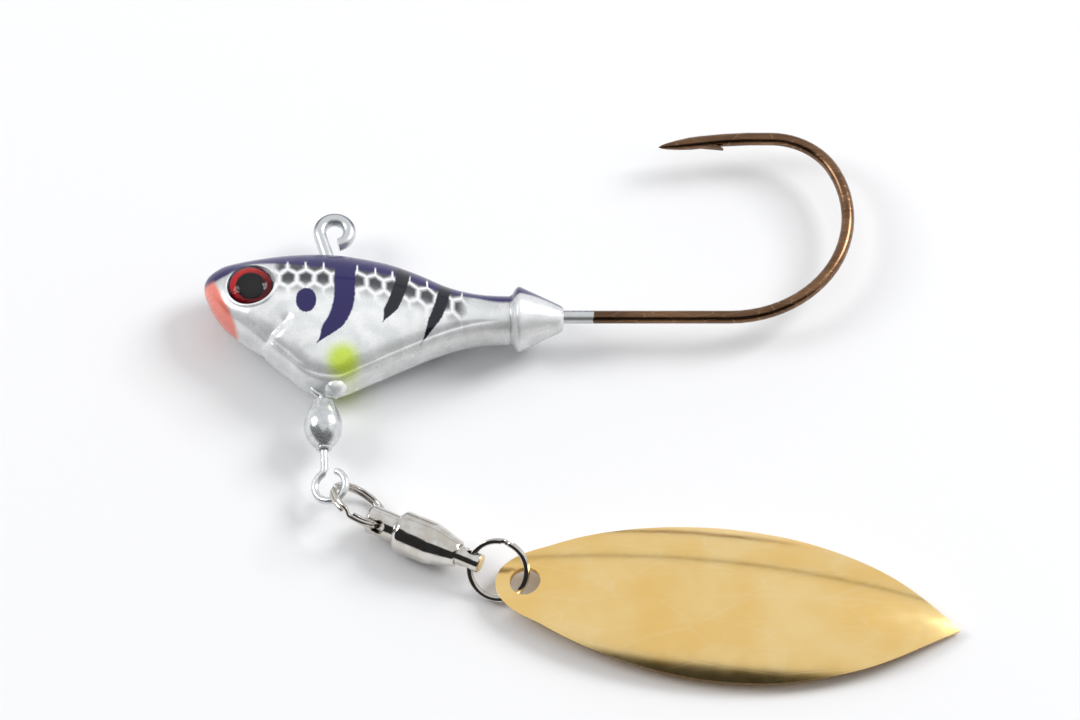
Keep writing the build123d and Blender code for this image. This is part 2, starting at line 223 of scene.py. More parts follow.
def edges_between(verts):
    """The edges whose two ends are both in verts."""
    inside = set(verts)
    touching = {edge for v in inside for edge in v.link_edges}
    return [edge for edge in touching if edge.verts[0] in inside and edge.verts[1] in inside]


def wire(bm, start, direction, radius, moves, sides=24, close_start=True):
    """Round wire in the XY plane: each move is ("run", length) or (bend radius, turn in degrees)."""
    point = Vector(start)
    tangent = Matrix.Rotation(radians(direction), 3, "Z") @ Vector((1, 0, 0))
    face_along = tangent.to_track_quat("Z", "Y").to_matrix().to_4x4()
    ring = bmesh.ops.create_circle(bm, segments=sides, radius=radius, cap_ends=close_start,
                                   matrix=Matrix.Translation(point) @ face_along)["verts"]
    for size, amount in moves:
        edges = edges_between(ring)
        if size == "run":
            grown = bmesh.ops.extrude_edge_only(bm, edges=edges)["geom"]
            ring = [v for v in grown if isinstance(v, bmesh.types.BMVert)]
            bmesh.ops.translate(bm, verts=ring, vec=tangent * amount)
            point = point + tangent * amount
            continue
        turn = radians(amount)
        side = Vector((-tangent.y, tangent.x, 0)) * (1 if turn > 0 else -1)
        centre = point + side * size
        steps = max(3, round(abs(amount) / 5))
        last = bmesh.ops.spin(bm, geom=edges, cent=centre, axis=(0, 0, 1), angle=turn,
                              steps=steps)["geom_last"]
        ring = [v for v in last if isinstance(v, bmesh.types.BMVert)]
        swing = Matrix.Rotation(turn, 3, "Z")
        point = centre + swing @ (point - centre)
        tangent = swing @ tangent
    return ring, point, tangent


def hook_wire():
    lean = radians(STEM_LEAN)
    stem_top = Vector((-TIE_R * cos(lean), -TIE_R * sin(lean), 0))
    corner_x = stem_top.x + (stem_top.y - SHANK_Y) * sin(lean) / cos(lean)
    turn = 90 - STEM_LEAN
    setback = CORNER_R * sin(radians(turn / 2)) / cos(radians(turn / 2))
    stem = hypot(stem_top.x - corner_x, stem_top.y - SHANK_Y) - setback
    cut_end = Matrix.Rotation(radians(-TIE_SWEEP), 3, "Z") @ stem_top
    moves = [("run", 0.0001), (TIE_R, TIE_SWEEP), ("run", stem), (CORNER_R, turn),
             ("run", SHANK_END - corner_x - setback)] + BEND
    bm = bmesh.new()
    ring, end, tangent = wire(bm, cut_end, 270 + STEM_LEAN - TIE_SWEEP, WIRE_R, moves, sides=32)
    for reach, width in ((0.25, 0.97), (0.55, 0.76), (0.8, 0.5), (0.93, 0.27), (1.0, 0.06)):
        grown = bmesh.ops.extrude_edge_only(bm, edges=edges_between(ring))["geom"]
        ring = [v for v in grown if isinstance(v, bmesh.types.BMVert)]
        centre = sum((v.co for v in ring), Vector()) / len(ring)
        size = max((v.co - centre).length for v in ring)
        for v in ring:
            v.co = end + tangent * POINT * reach + (v.co - centre) * (WIRE_R * width / size)
    bmesh.ops.contextual_create(bm, geom=ring)
    inward = Vector((-tangent.y, tangent.x, 0))
    heel, root, tip = ((-1.3, 0.45), (0.6, 0.45), (-2.2, WIRE_R + 0.48))
    below = Vector((0, 0, -BARB_WIDTH / 2))
    corners = [end + tangent * along + inward * across + below for along, across in (heel, root, tip)]
    barb = bmesh.ops.contextual_create(bm, geom=[bm.verts.new(corner) for corner in corners])["faces"]
    raised = bmesh.ops.extrude_face_region(bm, geom=barb)["geom"]
    bmesh.ops.translate(bm, verts=[v for v in raised if isinstance(v, bmesh.types.BMVert)],
                        vec=(0, 0, BARB_WIDTH))
    return bm


def hook_finish():
    """Bronze lacquer over bright wire, sprayed silver and navy as far as the jig let the paint reach."""
    bronze = Finish("bronze hook lacquer")
    sprayed = bronze.ease(bronze.maths("ADD", bronze.x, bronze.maths("MULTIPLY", bronze.cloud(0.6), 0.5)),
                          SPRAY_END + 0.15, SPRAY_END + 0.3, 1.0, 0.0)
    worn = bronze.group(marks, Place=bronze.mm, Scratch_Spacing=1.3)
    mottle = bronze.ease(bronze.cloud(2.4, 3.0, (0.4, 1, 1)), 0.35, 0.7)
    brown = bronze.blend(mottle, (0.11, 0.054, 0.023, 1), (0.21, 0.108, 0.05, 1))
    brown = bronze.blend(bronze.maths("MULTIPLY", worn["Scratches"], 0.35), brown, (0.62, 0.36, 0.2, 1))
    from_tie = bronze.maths("SQRT", bronze.maths("ADD", bronze.maths("POWER", bronze.x, 2.0),
                                                 bronze.maths("POWER", bronze.y, 2.0)))
    tie_top = bronze.maths("MULTIPLY", bronze.ease(from_tie, TIE_R + 0.2, TIE_R + 0.42),
                           bronze.ease(bronze.y, -0.4, 1.0))
    shank_top = bronze.ease(bronze.maths("ADD", bronze.y, bronze.maths("MULTIPLY", bronze.cloud(0.5), 0.3)),
                            SHANK_Y + 0.3, SHANK_Y + 0.6)
    navy = bronze.blend(bronze.ease(bronze.x, 10, 11), tie_top, shank_top)
    paint = bronze.blend(navy, (0.66, 0.68, 0.69, 1), (0.03, 0.025, 0.09, 1))
    bronze.set(Base_Color=bronze.blend(sprayed, brown, paint), Metallic=bronze.ease(sprayed, 0, 1, 1.0, 0.75),
               Roughness=bronze.maths("ADD", bronze.ease(sprayed, 0, 1, 0.2, 0.24),
                                      bronze.maths("MULTIPLY", worn["Dullness"], 0.12)),
               Coat_Weight=0.5, Coat_Roughness=0.06)
    bronze.bump(bronze.maths("SUBTRACT", bronze.cloud(0.35, 2.0), worn["Scratches"]), 0.004)
    return bronze


piece(hook_wire(), "hook_wire", Matrix(), hook_finish(), "lure", "hook_bronze", "jig_hook", sharp=50)

# ---- Lead head ----
# The fish is cast in lead round the hook's stem and the upper swivel eye, with a flared tail collar
# that holds a soft bait. Both cheeks carry a gill slit and the belly is a narrow flat keel. The coat
# is pearl over silver, with a navy back, grey scales sprayed through netting, bars, and a clear gloss.
STATIONS = [
    (-12.90, -6.1, -6.6, -7.1, 0.45), (-12.60, -5.5, -6.7, -7.9, 1.05), (-12.00, -4.9, -7.1, -9.2, 1.70),
    (-11.00, -4.3, -7.6, -10.6, 2.35), (-9.50, -3.9, -8.1, -12.0, 2.90), (-7.50, -3.5, -8.7, -13.6, 3.35),
    (-5.00, -3.1, -9.6, -15.8, 3.60), (-2.60, -2.9, -10.4, -17.8, 3.70), (0.40, -3.0, -10.7, -18.5, 3.70),
    (2.80, -3.4, -10.6, -17.5, 3.65), (5.60, -4.1, -10.3, -16.1, 3.45), (8.50, -5.3, -10.1, -14.7, 3.15),
    (11.50, -6.8, -10.1, -13.4, 2.80), (14.50, -7.6, -10.1, -12.6, 2.50), (17.80, -7.8, -10.1, -12.4, 2.40),
]
BACK_FULLNESS = 2.1
BELLY_FULLNESS = 2.5
GILL_TOP = (-4.1, -11.7)
GILL_FOOT = (-7.1, -14.1)
GILL_DEPTH = 0.62
KEEL_WIDTH = 1.0
EYE = Vector((-8.2, -7.7, 0))
EYE_R = 2.4
EYE_SEAT = 2.35


def station(x):
    """The back, widest level, belly and half thickness of the fish at x, on a smooth curve."""
    last = len(STATIONS) - 1
    i = max(k for k in range(last) if STATIONS[k][0] <= x or k == 0)
    x0, x1 = STATIONS[i][0], STATIONS[i + 1][0]
    t = min(1, max(0, (x - x0) / (x1 - x0)))
    values = []
    for column in range(1, 5):
        p0, p1 = STATIONS[i][column], STATIONS[i + 1][column]
        m0 = m1 = (p1 - p0) / (x1 - x0)
        if i > 0:
            m0 = (p1 - STATIONS[i - 1][column]) / (x1 - STATIONS[i - 1][0])
        if i + 1 < last:
            m1 = (STATIONS[i + 2][column] - p0) / (STATIONS[i + 2][0] - x0)
        h = x1 - x0
        values.append((2 * t ** 3 - 3 * t ** 2 + 1) * p0 + (t ** 3 - 2 * t ** 2 + t) * h * m0
                      + (3 * t ** 2 - 2 * t ** 3) * p1 + (t ** 3 - t ** 2) * h * m1)
    return values


def flank(x, y):
    """Half thickness of the plain fish at (x, y)."""
    back, widest, belly, half = station(x)
    power = BACK_FULLNESS if y > widest else BELLY_FULLNESS
    reach = back - widest if y > widest else widest - belly
    return half * max(0.0, 1 - min(1.0, abs(y - widest) / reach) ** power) ** (1 / power)


def carved(x, y):
    """How far the gill slit, the jaw and the keel's edge are cut into the flank at (x, y)."""
    ax, ay = GILL_TOP
    bx, by = GILL_FOOT
    along = ((x - ax) * (bx - ax) + (y - ay) * (by - ay)) / ((bx - ax) ** 2 + (by - ay) ** 2)
    length = hypot(bx - ax, by - ay)
    across = ((x - ax) * (by - ay) - (y - ay) * (bx - ax)) / length
    fade = max(0.0, min(1.0, (along + 0.08) / 0.3)) * max(0.0, min(1.0, (1.35 - along) / 0.35))
    behind = 1 / (1 + (max(0.0, -across) / 0.16) ** 2)
    ahead = 1 / (1 + (max(0.0, across) / 0.95) ** 2)
    depth = GILL_DEPTH * fade * behind * ahead
    back, widest, belly, half = station(x)
    edge = y - belly - KEEL_WIDTH
    keel = max(0.0, min(1.0, (x + 8.5) / 3)) * max(0.0, min(1.0, (17 - x) / 6))
    return depth + 0.22 * keel / (1 + (edge / 0.2) ** 2)


def skin(bm, sections, count, close=True):
    """Skin over sections: each is a function from a turn, 0 to 1, to a point."""
    turn = bm.verts.layers.float.new("turn")
    ring = bmesh.ops.create_circle(bm, segments=count, radius=1)["verts"]
    for step, v in enumerate(ring):
        v[turn] = step / count
        v.co = sections[0](v[turn])
    if close:
        bmesh.ops.contextual_create(bm, geom=ring)
    for section in sections[1:]:
        grown = bmesh.ops.extrude_edge_only(bm, edges=edges_between(ring))["geom"]
        ring = [v for v in grown if isinstance(v, bmesh.types.BMVert)]
        for v in ring:
            v.co = section(v[turn])
    if close:
        bmesh.ops.contextual_create(bm, geom=ring)
    return ring


def fish_section(x, shrink=1.0):
    back, widest, belly, half = station(x)

    def point(turn):
        angle = 2 * pi * turn
        across, up = cos(angle), sin(angle)
        power = 2 / (BACK_FULLNESS if up > 0 else BELLY_FULLNESS)
        reach = back - widest if up > 0 else widest - belly
        y = widest + shrink * reach * abs(up) ** power * (1 if up > 0 else -1)
        z = shrink * half * abs(across) ** power * (1 if across > 0 else -1)
        cut = carved(x, y) * min(1.0, abs(z) / 0.8)
        socket = (Vector((x, y, 0)) - EYE).length < EYE_R - 0.1
        if socket:
            z = (EYE_SEAT - 0.25) * (1 if z > 0 else -1) if abs(z) > EYE_SEAT - 0.25 else z
        return Vector((x, y, z - cut * (1 if z > 0 else -1)))

    return point


def fish_body():
    nose = STATIONS[0][0]
    cuts = [nose + 0.12 * k for k in range(12)]
    cuts += [cuts[-1] + 0.24 * k for k in range(1, 123)]
    sections = [fish_section(nose, 0.35)] + [fish_section(x) for x in cuts if x <= STATIONS[-1][0]]
    bm = bmesh.new()
    skin(bm, sections, 144)
    return bm


def turned(bm, profile, steps=72, spacing=100.0):
    """Spin a profile of (radius, height) corners about Z, with no face longer than spacing."""
    corners = [Vector((radius, 0, height)) for radius, height in profile]
    points = [bm.verts.new(corners[0])]
    for a, b in zip(corners, corners[1:]):
        parts = max(1, round((b - a).length / spacing))
        points += [bm.verts.new(a.lerp(b, (k + 1) / parts)) for k in range(parts)]
    edges = [bm.edges.new(pair) for pair in zip(points, points[1:])]
    bmesh.ops.spin(bm, geom=points + edges, cent=(0, 0, 0), axis=(0, 0, 1), angle=2 * pi, steps=steps,
                   use_merge=True)
    bmesh.ops.remove_doubles(bm, verts=bm.verts, dist=1e-5)


COLLAR_Y = -10.0
COLLAR = [(0, 17.3), (2.3, 17.3), (2.36, 17.6), (2.5, 17.82), (2.9, 18.0), (3.14, 18.2), (3.24, 18.36),
          (3.25, 18.5), (3.2, 18.66), (3.05, 18.95), (2.2, 20.8), (1.6, 22.05), (1.4, 22.5), (1.22, 22.78),
          (0.95, 22.9), (0.6, 22.92), (0, 22.92)]
collar_place = Matrix.Translation((0, COLLAR_Y * MM, 0)) @ Matrix.Rotation(pi / 2, 4, "Y")
BOSS = (0.3, -18.0, 0.55)
BOSS_R = 1.15


def swivel_boss():
    bm = bmesh.new()
    bmesh.ops.create_uvsphere(bm, u_segments=32, v_segments=20, radius=BOSS_R)
    return bm


def socket_lip():
    """A soft ridge of lacquer where the coats built up round the eye's socket."""
    bm = bmesh.new()
    radius, roundness = EYE_R + 0.12, 0.17
    upright = Matrix.Translation((radius, 0, 0)) @ Matrix.Rotation(pi / 2, 4, "X")
    ring = bmesh.ops.create_circle(bm, segments=12, radius=roundness, matrix=upright)["verts"]
    bmesh.ops.spin(bm, geom=edges_between(ring), cent=(0, 0, 0), axis=(0, 0, 1), angle=2 * pi, steps=96,
                   use_merge=True)
    bmesh.ops.remove_doubles(bm, verts=bm.verts, dist=1e-5)
    for v in bm.verts:
        level = flank(EYE.x + v.co.x, EYE.y + v.co.y)
        v.co.z = v.co.z + level - 0.03
    return bm


NAVY = (0.020, 0.014, 0.105, 1)
CHARCOAL = (0.012, 0.012, 0.022, 1)
SCALE_GREY = (0.07, 0.072, 0.082, 1)
PEARL = (0.77, 0.79, 0.79, 1)
WHITE = (0.93, 0.94, 0.95, 1)
CORAL = (0.95, 0.27, 0.21, 1)
CHARTREUSE = (0.66, 0.84, 0.10, 1)
NET_PITCH = 1.72
NET_START = (-4.46, -7.25)
NET_DROOP = 0.82
BACK_LINE = [(-13, -7.2), (-12, -6.75), (-11, -6.3), (-10, -5.9), (-9, -5.3), (-8, -5.0), (-5.5, -5.0),
             (-2.7, -5.35), (1, -5.8), (4, -6.1), (6.5, -6.65), (10, -7.95), (14, -8.75), (17.6, -9.2),
             (18.8, -8.5), (23, -9.3)]
BARS = [(NAVY, 1.15, -8.8, 0.046, 2.3, 1.04, -12.6, -14.95),
        (CHARCOAL, 6.95, -5.5, 0.043, 2.0, 0.68, -10.6, -12.5),
        (CHARCOAL, 11.1, -7.2, 0.052, 2.0, 0.62, -11.2, -14.2)]
GILL_SPOT = (-2.66, -9.9)
GILL_SPOT_SIZE = (1.02, 1.4)
BELLY_SPOT = (1.06, -16.3)
BELLY_SPOT_FADE = (2.4, 0.7)
THROAT_FROM = (-11.66, -7.4)
THROAT_SLOPE = 2.2
THROAT_TOP = -6.9
FISH_FROM, FISH_TO = -13.0, 23.0
DEEPEST = -20.0


def along_fish(paint, points):
    """Level of a painted line at x, from a few points along the fish."""
    share = paint.ease(paint.x, FISH_FROM, FISH_TO)
    share.node.interpolation_type = "LINEAR"
    curve = paint.tree.nodes.new("ShaderNodeFloatCurve")
    spots = curve.mapping.curves[0].points
    wanted = [((x - FISH_FROM) / (FISH_TO - FISH_FROM), 1 - y / DEEPEST) for x, y in points]
    spots[0].location = wanted[0]
    spots[1].location = wanted[-1]
    for place in wanted[1:-1]:
        spots.new(*place)
    curve.mapping.update()
    paint.put(curve.inputs["Value"], share)
    return paint.maths("MULTIPLY", paint.maths("SUBTRACT", 1.0, curve.outputs["Value"]), DEEPEST)


def bar(paint, x, top, curl, bend, half, full, tip, ragged):
    """Mask of one painted bar: it starts at (x, top), curls forward and narrows to nothing at tip."""
    drop = paint.maths("MAXIMUM", paint.maths("SUBTRACT", top, paint.y), 0.0)
    middle = paint.maths("SUBTRACT", x, paint.maths("MULTIPLY", paint.maths("POWER", drop, bend), curl))
    width = paint.ease(paint.y, tip, full, 0.0, half)
    off = paint.maths("ABSOLUTE", paint.maths("SUBTRACT", paint.x, middle))
    inside = paint.ease(paint.maths("ADD", paint.maths("SUBTRACT", width, off), ragged), -0.09, 0.09)
    return paint.maths("MULTIPLY", inside, paint.ease(paint.y, tip - 0.1, tip + 0.35))


def netting(paint, level):
    """Distance from the middle of the nearest scale of the netting, 0 to half the pitch."""
    place = paint.tree.nodes.new("ShaderNodeCombineXYZ")
    wander_x = paint.maths("MULTIPLY", paint.maths("SUBTRACT", paint.cloud(3.1), 0.5), 0.5)
    wander_y = paint.maths("MULTIPLY", paint.maths("SUBTRACT", paint.cloud(2.3), 0.5), 0.45)
    paint.put(place.inputs["X"], paint.maths("ADD", paint.maths("SUBTRACT", paint.x, NET_START[0]), wander_x))
    below = paint.maths("MULTIPLY", paint.maths("SUBTRACT", level, NET_START[1]), NET_DROOP)
    paint.put(place.inputs["Y"], paint.maths("ADD", below, wander_y))
    cell = Vector((NET_PITCH, NET_PITCH * sqrt(3), 1))
    reaches = []
    for shift in (0.0, 0.5):
        moved = paint.tree.nodes.new("ShaderNodeVectorMath")
        moved.inputs[1].default_value = cell * shift
        paint.put(moved.inputs[0], place.outputs["Vector"])
        wrapped = paint.tree.nodes.new("ShaderNodeVectorMath")
        wrapped.operation = "WRAP"
        wrapped.inputs[1].default_value = cell / 2
        wrapped.inputs[2].default_value = -cell / 2
        paint.put(wrapped.inputs[0], moved.outputs["Vector"])
        axes = paint.tree.nodes.new("ShaderNodeSeparateXYZ")
        paint.put(axes.inputs["Vector"], wrapped.outputs["Vector"])
        across = paint.maths("ABSOLUTE", axes.outputs["X"])
        up = paint.maths("ABSOLUTE", axes.outputs["Y"])
        slanted = paint.maths("ADD", paint.maths("MULTIPLY", across, 0.5), paint.maths("MULTIPLY", up, 0.866))
        reaches.append(paint.maths("MAXIMUM", across, slanted))
    return paint.maths("MINIMUM", *reaches)


def head_finish():
    """The whole spray job, coat by coat, under a clear gloss coat."""
    paint = Finish("fish head paint")
    ragged = paint.maths("MULTIPLY", paint.maths("SUBTRACT", paint.cloud(0.22, 3.0), 0.5), 0.22)
    tail_rise = paint.maths("MAXIMUM", paint.maths("ADD", paint.x, 3.0), 0.0)
    level = paint.maths("ADD", paint.y, paint.maths("MULTIPLY", paint.maths("POWER", tail_rise, 2.0), 0.0125))
    reach = netting(paint, level)
    in_length = paint.maths("MULTIPLY", paint.ease(paint.x, -6.3, -5.2),
                            paint.ease(paint.x, 12.2, 13.8, 1.0, 0.0))
    shade_zone = paint.maths("MULTIPLY", paint.ease(level, -9.7, -7.2), in_length)
    scale_r = NET_PITCH / 2
    scale = paint.maths("MULTIPLY", paint.ease(reach, scale_r - 0.03, scale_r - 0.42), shade_zone)
    thread = paint.ease(reach, scale_r - 0.12, scale_r - 0.05)
    thread_zone = paint.maths("MULTIPLY", paint.maths("MULTIPLY", paint.ease(level, -9.6, -8.4),
                                                      paint.ease(level, -5.3, -4.7, 1.0, 0.0)), in_length)
    colour = paint.blend(paint.ease(paint.cloud(1.6, 3.0), 0.3, 0.7), PEARL, WHITE)
    soft_back = paint.maths("SUBTRACT", paint.y, along_fish(paint, BACK_LINE))
    colour = paint.blend(paint.maths("MULTIPLY", paint.ease(soft_back, -1.9, 0.0), 0.35), colour, SCALE_GREY)
    colour = paint.blend(scale, colour, SCALE_GREY)
    back = paint.ease(paint.maths("ADD", soft_back, ragged), -0.42, 0.05)
    colour = paint.blend(back, colour, NAVY)
    colour = paint.blend(paint.maths("MULTIPLY", thread, thread_zone), colour, WHITE)
    for tint, *shape in BARS:
        colour = paint.blend(bar(paint, *shape, ragged), colour, tint)
    off_x = paint.maths("SUBTRACT", paint.x, GILL_SPOT[0])
    off_y = paint.maths("SUBTRACT", paint.y, GILL_SPOT[1])
    over = paint.maths("POWER", paint.maths("DIVIDE", off_x, GILL_SPOT_SIZE[0]), 2.0)
    down = paint.maths("POWER", paint.maths("DIVIDE", off_y, GILL_SPOT_SIZE[1]), 2.0)
    dot = paint.ease(paint.maths("ADD", paint.maths("ADD", over, down), paint.maths("MULTIPLY", ragged, 1.5)),
                     1.12, 0.88)
    colour = paint.blend(dot, colour, NAVY)
    glow_x = paint.maths("POWER", paint.maths("SUBTRACT", paint.x, BELLY_SPOT[0]), 2.0)
    glow_y = paint.maths("POWER", paint.maths("SUBTRACT", paint.y, BELLY_SPOT[1]), 2.0)
    glow = paint.ease(paint.maths("SQRT", paint.maths("ADD", glow_x, glow_y)), *BELLY_SPOT_FADE)
    colour = paint.blend(glow, colour, CHARTREUSE)
    behind_jaw = paint.maths("SUBTRACT", paint.x, THROAT_FROM[0])
    throat_line = paint.maths("SUBTRACT", THROAT_FROM[1], paint.maths("MULTIPLY", behind_jaw, THROAT_SLOPE))
    throat_line = paint.maths("MINIMUM", throat_line, THROAT_TOP)
    throat = paint.ease(paint.maths("SUBTRACT", throat_line, paint.y), -0.6, 0.35)
    throat = paint.maths("MULTIPLY", throat, paint.ease(paint.x, -8.3, -9.8))
    colour = paint.blend(throat, colour, CORAL)
    worn = paint.group(marks, Place=paint.mm, Scratch_Spacing=0.8)
    flake = paint.cloud(0.05, 0.0)
    paint.set(Base_Color=colour, Metallic=paint.ease(flake, 0.35, 0.65, 0.12, 0.4),
              Roughness=paint.maths("ADD", 0.17, paint.maths("MULTIPLY", worn["Dullness"], 0.16)),
              Coat_Weight=0.6, Coat_Roughness=0.05, Specular_IOR_Level=0.2)
    peel = paint.maths("ADD", paint.cloud(1.1, 2.0), paint.maths("MULTIPLY", worn["Scratches"], -0.15))
    paint.bump(peel, 0.02)
    return paint


head_paint = head_finish()
piece(fish_body(), "fish_head", Matrix(), head_paint, "lure", "head_paint", "head_casting", sharp=70,
      smooth_levels=1)
collar_shape = bmesh.new()
turned(collar_shape, COLLAR)
piece(collar_shape, "tail_collar", collar_place, head_paint, "lure", "head_paint", sharp=60, smooth_levels=1)
piece(swivel_boss(), "swivel_boss", Matrix.Translation(Vector(BOSS) * MM), head_paint, "lure",
      "head_paint", sharp=80)
for side, hand in ((1, "left"), (-1, "right")):
    lip = socket_lip()
    if side < 0:
        bmesh.ops.transform(lip, verts=lip.verts, matrix=Matrix.Scale(-1, 4, (0, 0, 1)))
    piece(lip, f"socket_lip_{hand}", Matrix.Translation(EYE * MM), head_paint, "lure", "head_paint", sharp=80)

# ---- Eyes ----
# A printed metallic foil disc lies on the floor of each socket: red iris, near-black pupil, dark rim.
# A clear epoxy lens is cast on it and stands proud of the cheek.
PUPIL_R = 1.42
IRIS_R = 2.0
FOIL_T = 0.12
LENS_RISE = 1.05


def foil_finish():
    foil = Finish("eye foil print")
    off_x = foil.maths("SUBTRACT", foil.x, EYE.x)
    off_y = foil.maths("SUBTRACT", foil.y, EYE.y)
    square = foil.maths("ADD", foil.maths("POWER", off_x, 2.0), foil.maths("POWER", off_y, 2.0))
    reach = foil.maths("SQRT", square)
    angle = foil.maths("ARCTAN2", off_y, off_x)
    rays = foil.tree.nodes.new("ShaderNodeTexNoise")
    rays.noise_dimensions = "1D"
    rays.inputs["Scale"].default_value = 14
    rays.inputs["Detail"].default_value = 3
    foil.put(rays.inputs["W"], angle)
    # Painted highlight and painted shade: the red iris is painted lighter towards the upper left and darker
    # towards the lower right. The rays through it are the foil's own print.
    painted_light_side = foil.ease(foil.maths("SUBTRACT", off_y, off_x), -2.6, 3.2)
    red = foil.blend(foil.maths("MULTIPLY", painted_light_side, foil.ease(rays.outputs["Fac"], 0.3, 0.6, 0.45, 1.0)),
                     (0.10, 0.002, 0.004, 1), (0.80, 0.015, 0.02, 1))
    inner = foil.ease(reach, PUPIL_R - 0.05, PUPIL_R + 0.07)
    outer = foil.ease(reach, IRIS_R + 0.1, IRIS_R - 0.08)
    pupil = foil.blend(foil.ease(reach, 0.2, 1.3), (0.012, 0.01, 0.012, 1), (0.003, 0.003, 0.004, 1))
    colour = foil.blend(foil.maths("MULTIPLY", inner, outer), pupil, red)
    rim = foil.ease(reach, IRIS_R - 0.02, IRIS_R + 0.12)
    colour = foil.blend(rim, colour, (0.02, 0.012, 0.04, 1))
    foil.set(Base_Color=colour, Metallic=foil.maths("MULTIPLY", inner, 0.6), Roughness=0.25,
             Specular_IOR_Level=0.1)
    foil.bump(rays.outputs["Fac"], 0.01)
    return foil


def lens_finish():
    """Clear epoxy, poured by the drop: a slight wave in its skin and a faint warm cast."""
    clear = Finish("eye lens epoxy")
    cast = clear.blend(clear.cloud(2.0), (1, 0.985, 0.985, 1), (1, 1, 1, 1))
    clear.set(Base_Color=cast, Roughness=0.02, IOR=1.25, Transmission_Weight=1.0)
    clear.bump(clear.cloud(1.7), 0.01)
    return clear


foil_print = foil_finish()
lens_epoxy = lens_finish()
ball_r = (EYE_R ** 2 + LENS_RISE ** 2) / (2 * LENS_RISE)
for side, hand in ((1, "left"), (-1, "right")):
    place = Matrix.Translation((EYE + Vector((0, 0, side * EYE_SEAT))) * MM)
    if side < 0:
        place = place @ Matrix.Rotation(pi, 4, "X")
    disc = bmesh.new()
    turned(disc, [(0, 0), (EYE_R - 0.03, 0), (EYE_R, 0.03), (EYE_R, FOIL_T - 0.03),
                  (EYE_R - 0.03, FOIL_T - 0.001), (0, FOIL_T - 0.001)], 96)
    piece(disc, f"foil_disc_{hand}", place, foil_print, "lure", "eye_foil", f"eye_foil_{hand}")
    lens = bmesh.new()
    heights = [LENS_RISE * k / 14 for k in range(15)]
    turned(lens, [(0, FOIL_T)] + [(sqrt(max(0.0, ball_r ** 2 - (ball_r - LENS_RISE + h) ** 2)), FOIL_T + h)
                                 for h in heights], 96)
    piece(lens, f"eye_lens_{hand}", place, lens_epoxy, "lure", "eye_lens", f"eye_dome_{hand}", sharp=50)

# ---- Belly swivel ----
# A barrel swivel: two wire eyes with upset heads turn in a hollow brass barrel, whose ends are closed
# in round them. The upper eye is cast into the belly, and the swivel got the head's silver-white coat.
EYE_WIRE = 0.38
EYE_LOOP = 1.6
EYE_SWEEP = 305
EYE_SHOULDER = 0.8
EYE_LEAN = 0.55
LOWER_REACH = 9.23
LOWER_HEAD = 4.0
BARREL_PROFILE = [(0.43, 0.02), (0.95, 0.0), (1.08, 0.04), (1.15, 0.16), (1.17, 0.34), (1.45, 0.9),
                  (1.75, 1.55), (1.92, 2.2), (1.95, 2.7), (1.88, 3.25), (1.66, 3.9), (1.3, 4.5),
                  (0.98, 4.85), (0.84, 4.97),
                  (0.8, 5.05), (0.79, 5.2), (0.74, 5.28), (0.64, 5.3), (0.43, 5.28), (0.43, 4.7), (0.43, 0.6),
                  (0.43, 0.02)]


def spot(origin, axis, side):
    """Place for a shape drawn in millimetres: its Z along axis and its X towards side."""
    z = Vector(axis).normalized()
    x = (Vector(side) - z * z.dot(Vector(side))).normalized()
    turn = Matrix((x, z.cross(x), z)).transposed().to_4x4()
    return Matrix.Translation(origin) @ turn


def swivel_paint():
    """Silver-white spray over brass, thin and slightly yellow where the pieces rub."""
    coat = Finish("sprayed swivel paint")
    worn = coat.group(marks, Place=coat.mm, Scratch_Spacing=1.1)
    cloudy = coat.blend(coat.ease(coat.cloud(0.9, 3.0), 0.3, 0.75), (0.60, 0.62, 0.63, 1),
                        (0.82, 0.84, 0.85, 1))
    rubbed = coat.ease(coat.cloud(0.5, 3.0), 0.66, 0.74, 0.0, 0.5)
    coat.set(Base_Color=coat.blend(rubbed, cloudy, (0.45, 0.42, 0.35, 1)),
             Metallic=coat.ease(coat.cloud(0.08, 0.0), 0.3, 0.7, 0.55, 0.85),
             Roughness=coat.maths("ADD", 0.14, coat.maths("MULTIPLY", worn["Dullness"], 0.16)),
             Coat_Weight=0.7, Coat_Roughness=0.05)
    coat.bump(coat.maths("SUBTRACT", coat.cloud(0.6, 2.0), worn["Scratches"]), 0.003)
    return coat


def wire_eye(neck_from, reach, head):
    """Wire eye along +X: neck with an upset head at its start, shoulder, and a loop left just open."""
    bm = bmesh.new()
    shoulder = (EYE_SHOULDER + EYE_LEAN) / (EYE_SHOULDER + EYE_LOOP)
    turn = 90 - Vector((sqrt(1 - shoulder ** 2), shoulder)).angle(Vector((1, 0))) * 180 / pi
    neck_to = reach - (EYE_SHOULDER + EYE_LOOP) * sin(radians(turn))
    ring, end, tangent = wire(bm, (neck_from, 0, 0), 0, EYE_WIRE,
                              [("run", neck_to - neck_from), (EYE_SHOULDER, -turn), (EYE_LOOP, EYE_SWEEP)])
    bmesh.ops.contextual_create(bm, geom=ring)
    for v in ring:
        v.co = end + (v.co - end) * 0.85
    start, stop, radius = head
    lengthwise = Matrix.Translation(((start + stop) / 2, 0, 0)) @ Matrix.Rotation(pi / 2, 4, "Y")
    bmesh.ops.create_cone(bm, cap_ends=True, segments=32, radius1=radius, radius2=radius, depth=stop - start,
                          matrix=lengthwise)
    return bm


